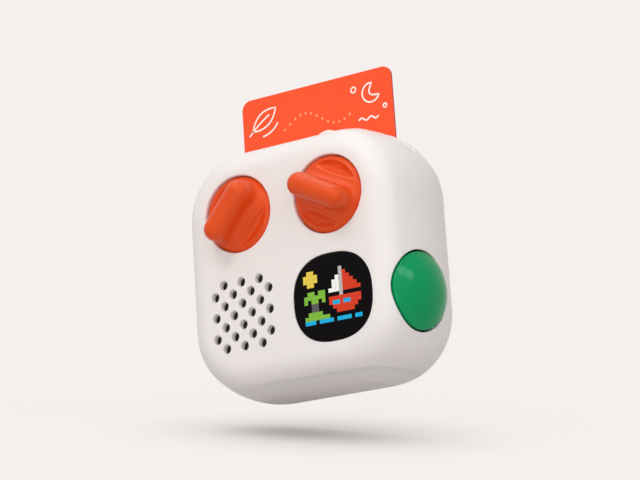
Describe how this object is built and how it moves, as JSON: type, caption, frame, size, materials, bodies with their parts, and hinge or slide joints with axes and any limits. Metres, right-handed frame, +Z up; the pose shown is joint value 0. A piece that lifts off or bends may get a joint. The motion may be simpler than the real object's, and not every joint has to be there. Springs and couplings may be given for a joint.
{
  "type": "audio story player",
  "caption": "Palm-sized rounded box that plays story cards pushed in at its top, with turn-and-press knobs, a speaker grille, a small lit display and a domed power button.",
  "frame": {"origin": "on the surface the player stands on, under the middle of its body", "axes": "+X right seen from the front, +Y from front to back, +Z up along the card's travel"},
  "size_m": [0.0786, 0.0456, 0.0956],
  "materials": {
    "shell_white": "fine satin moulding",
    "foot_rubber": "matte soft rubber",
    "screw_steel": "plated",
    "grille_cloth": "fine woven mesh",
    "gasket_foam": "closed-cell foam",
    "basket_grey": "moulded",
    "surround_rubber": "matte",
    "cone_paper": "pressed pulp",
    "coil_copper": "copper, lacquered",
    "magnet_steel": "plated",
    "display_black": "smooth tinted window",
    "grid_white": "moulded",
    "board_green": "solder mask",
    "clamp_grey": "moulded",
    "knob_orange": "satin moulding",
    "shaft_steel": "turned",
    "encoder_metal": "stamped",
    "contact_brass": "sprung brass",
    "button_green": "satin gloss moulding",
    "plunger_ivory": "moulded",
    "switch_black": "moulded",
    "guide_grey": "moulded",
    "ferrite_dark": "flexible sheet",
    "card_orange": "laminated card",
    "chip_black": "moulded",
    "cell_foil": "foil pouch",
    "lead_red": "insulated wire",
    "lead_black": "insulated wire",
    "cable_film": "polyimide film"
  },
  "bodies": {
    "housing": {"main_shell": "shell_white", "rear_cover": "shell_white", "base_cover": "shell_white", "base_foot": "foot_rubber", "rear_screws": "screw_steel", "base_screws": "screw_steel", "grille_cloth": "grille_cloth", "speaker_gasket": "gasket_foam", "speaker_basket": "basket_grey", "speaker_surround": "surround_rubber", "speaker_cone": "cone_paper", "speaker_coil": "coil_copper", "speaker_magnet": "magnet_steel", "speaker_screws": "screw_steel", "display_window": "display_black", "light_grid": "grid_white", "led_matrix": "board_green", "display_clamp": "clamp_grey", "display_screws": "screw_steel", "left_encoder": "encoder_metal", "right_encoder": "encoder_metal", "control_board": "board_green", "control_screws": "screw_steel", "power_switch": "switch_black", "switch_board": "board_green", "switch_screws": "screw_steel", "card_guide": "guide_grey", "guide_screws": "screw_steel", "card_antenna": "coil_copper", "ferrite_sheet": "ferrite_dark", "main_board": "board_green", "radio_module": "encoder_metal", "board_chips": "chip_black", "board_connectors": "plunger_ivory", "usb_socket": "encoder_metal", "headphone_socket": "switch_black", "battery_cell": "cell_foil", "battery_cradle": "clamp_grey", "battery_leads": "lead_red", "speaker_leads": "lead_black", "display_cable": "cable_film", "control_cable": "cable_film"},
    "left_press": {"left_push_plate": "contact_brass"},
    "left_dial": {"left_knob": "knob_orange", "left_shaft": "shaft_steel"},
    "right_press": {"right_push_plate": "contact_brass"},
    "right_dial": {"right_knob": "knob_orange", "right_shaft": "shaft_steel"},
    "button": {"power_button": "button_green", "switch_plunger": "plunger_ivory"},
    "card": {"story_card": "card_orange"}
  },
  "joints": [
    {"name": "left_knob_press", "type": "slide", "parent": "housing", "child": "left_press", "axis": [0, 1, 0], "range_m": [0, 0.0005], "stiffness_N_per_m": 1200},
    {"name": "left_knob_turn", "type": "hinge", "parent": "left_press", "child": "left_dial", "pos_m": [-0.01575, -0.018, 0.0543], "axis": [0, 1, 0], "continuous": true},
    {"name": "right_knob_press", "type": "slide", "parent": "housing", "child": "right_press", "axis": [0, 1, 0], "range_m": [0, 0.0005], "stiffness_N_per_m": 1200},
    {"name": "right_knob_turn", "type": "hinge", "parent": "right_press", "child": "right_dial", "pos_m": [0.01575, -0.018, 0.0543], "axis": [0, 1, 0], "continuous": true},
    {"name": "power_press", "type": "slide", "parent": "housing", "child": "button", "axis": [-1, 0, 0], "range_m": [0, 0.0008], "stiffness_N_per_m": 900},
    {"name": "card_slide", "type": "slide", "parent": "housing", "child": "card", "axis": [0, 0, 1], "range_m": [0, 0.07]}
  ]
}
